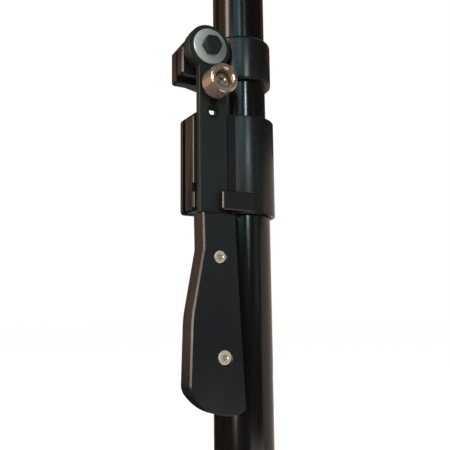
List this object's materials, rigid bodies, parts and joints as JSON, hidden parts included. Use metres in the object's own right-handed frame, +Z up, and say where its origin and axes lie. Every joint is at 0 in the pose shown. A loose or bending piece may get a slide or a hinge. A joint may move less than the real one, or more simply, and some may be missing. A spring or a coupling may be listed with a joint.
{
  "type": "telescoping pole joint with locking lever",
  "caption": "Two telescoping tubes joined by a fixed collar and a split clamp, with a flat lever that swings out of a catch.",
  "frame": {"origin": "centre of the rubber foot's lower face", "axes": "+Z up along the pole, -Y out of the lever's broad face, -X towards the side that the lever hangs on"},
  "size_m": [0.0705, 0.0555, 0.629],
  "materials": {
    "anodised": "black anodised, glossy, fine lengthwise brushing",
    "satin_black": "satin black",
    "zinc": "bright zinc plate",
    "stainless": "turned stainless steel",
    "dark_steel": "blackened steel",
    "grip": "satin black enamel",
    "rubber": "matt",
    "nylon": "matt",
    "aluminium": "machined"
  },
  "bodies": {
    "outer_pole": {"outer_tube": "anodised", "rubber_foot": "rubber", "lower_collar": "satin_black", "guide_bush": "nylon", "lower_clamp_screw_1": "dark_steel", "lower_clamp_screw_2": "dark_steel"},
    "upper_clamp": {"upper_collar": "satin_black", "pivot_bolt": "dark_steel", "front_washer": "zinc", "back_washer": "zinc", "pivot_spacer": "satin_black", "lock_nut": "zinc"},
    "inner_pole": {"inner_tube": "anodised", "slide_bush": "nylon", "top_cap": "satin_black", "mic_stud": "stainless", "stud_lock_ring": "aluminium"},
    "lever": {"lever_bar": "satin_black", "grip_front": "grip", "grip_back": "grip", "grip_screw_1": "stainless", "grip_screw_2": "stainless", "grip_nut_1": "stainless", "grip_nut_2": "stainless"},
    "lock_knob": {"knob_sleeve": "stainless", "knob_washer": "nylon", "knob_screw": "stainless", "slide_nut": "dark_steel"}
  },
  "joints": [
    {"name": "clamp_slide", "type": "slide", "parent": "outer_pole", "child": "upper_clamp", "axis": [0, 0, 1], "range_m": [-0.022, 0]},
    {"name": "pole_slide", "type": "slide", "parent": "upper_clamp", "child": "inner_pole", "axis": [0, 0, 1], "range_m": [-0.08, 0.1]},
    {"name": "lever_swing", "type": "hinge", "parent": "upper_clamp", "child": "lever", "pos_m": [-0.0317, -0.0154, 0.3856], "axis": [0, 1, 0], "range_deg": [0, 110]},
    {"name": "knob_slide", "type": "slide", "parent": "lever", "child": "lock_knob", "axis": [0, 0, -1], "range_m": [0, 0.017]}
  ]
}
